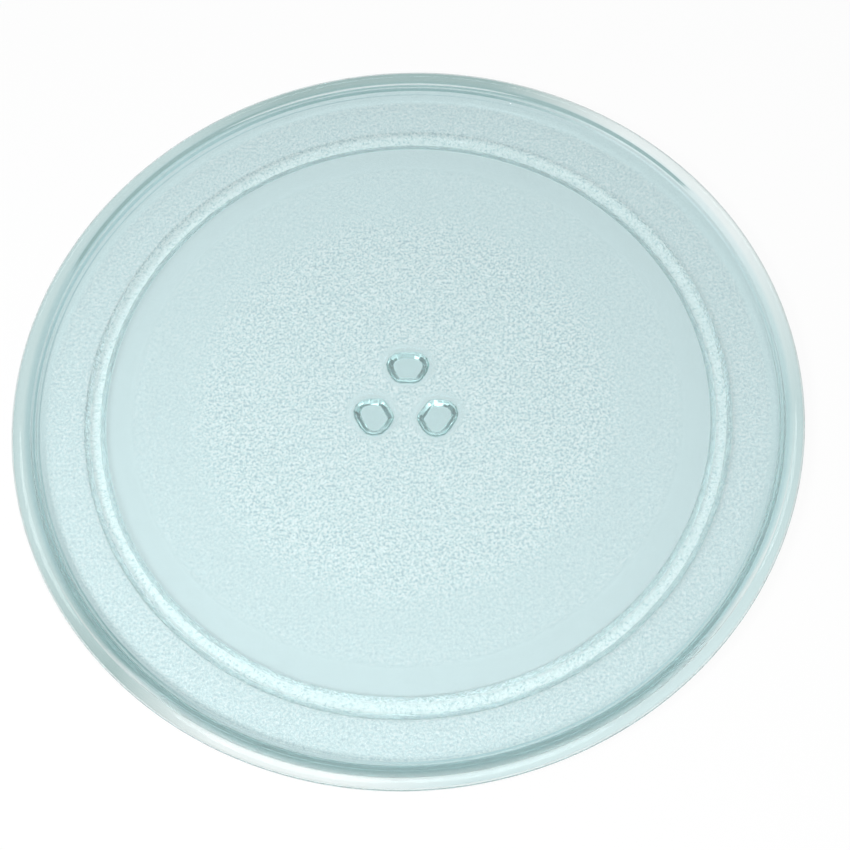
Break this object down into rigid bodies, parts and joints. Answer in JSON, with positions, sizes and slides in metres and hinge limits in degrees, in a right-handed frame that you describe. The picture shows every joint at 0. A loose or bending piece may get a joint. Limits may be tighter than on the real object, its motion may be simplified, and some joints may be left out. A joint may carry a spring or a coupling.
{
  "type": "microwave turntable plate",
  "caption": "Round pressed-glass tray with a low sloped rim, a roller guide ring below and drive lugs at its centre, which carries food as it turns in a microwave oven.",
  "frame": {"origin": "on the axis of turn, at the level of the lug feet that the plate stands on", "axes": "+Z along the axis of turn, from the lugs towards the food face; +Y through the middle of one lug"},
  "size_m": [0.325, 0.325, 0.0165],
  "materials": {
    "clear_glass": "pressed clear glass, smooth on top and on the roller track, stippled below"
  },
  "bodies": {
    "root": {"turntable_plate": "clear_glass"}
  },
  "joints": []
}
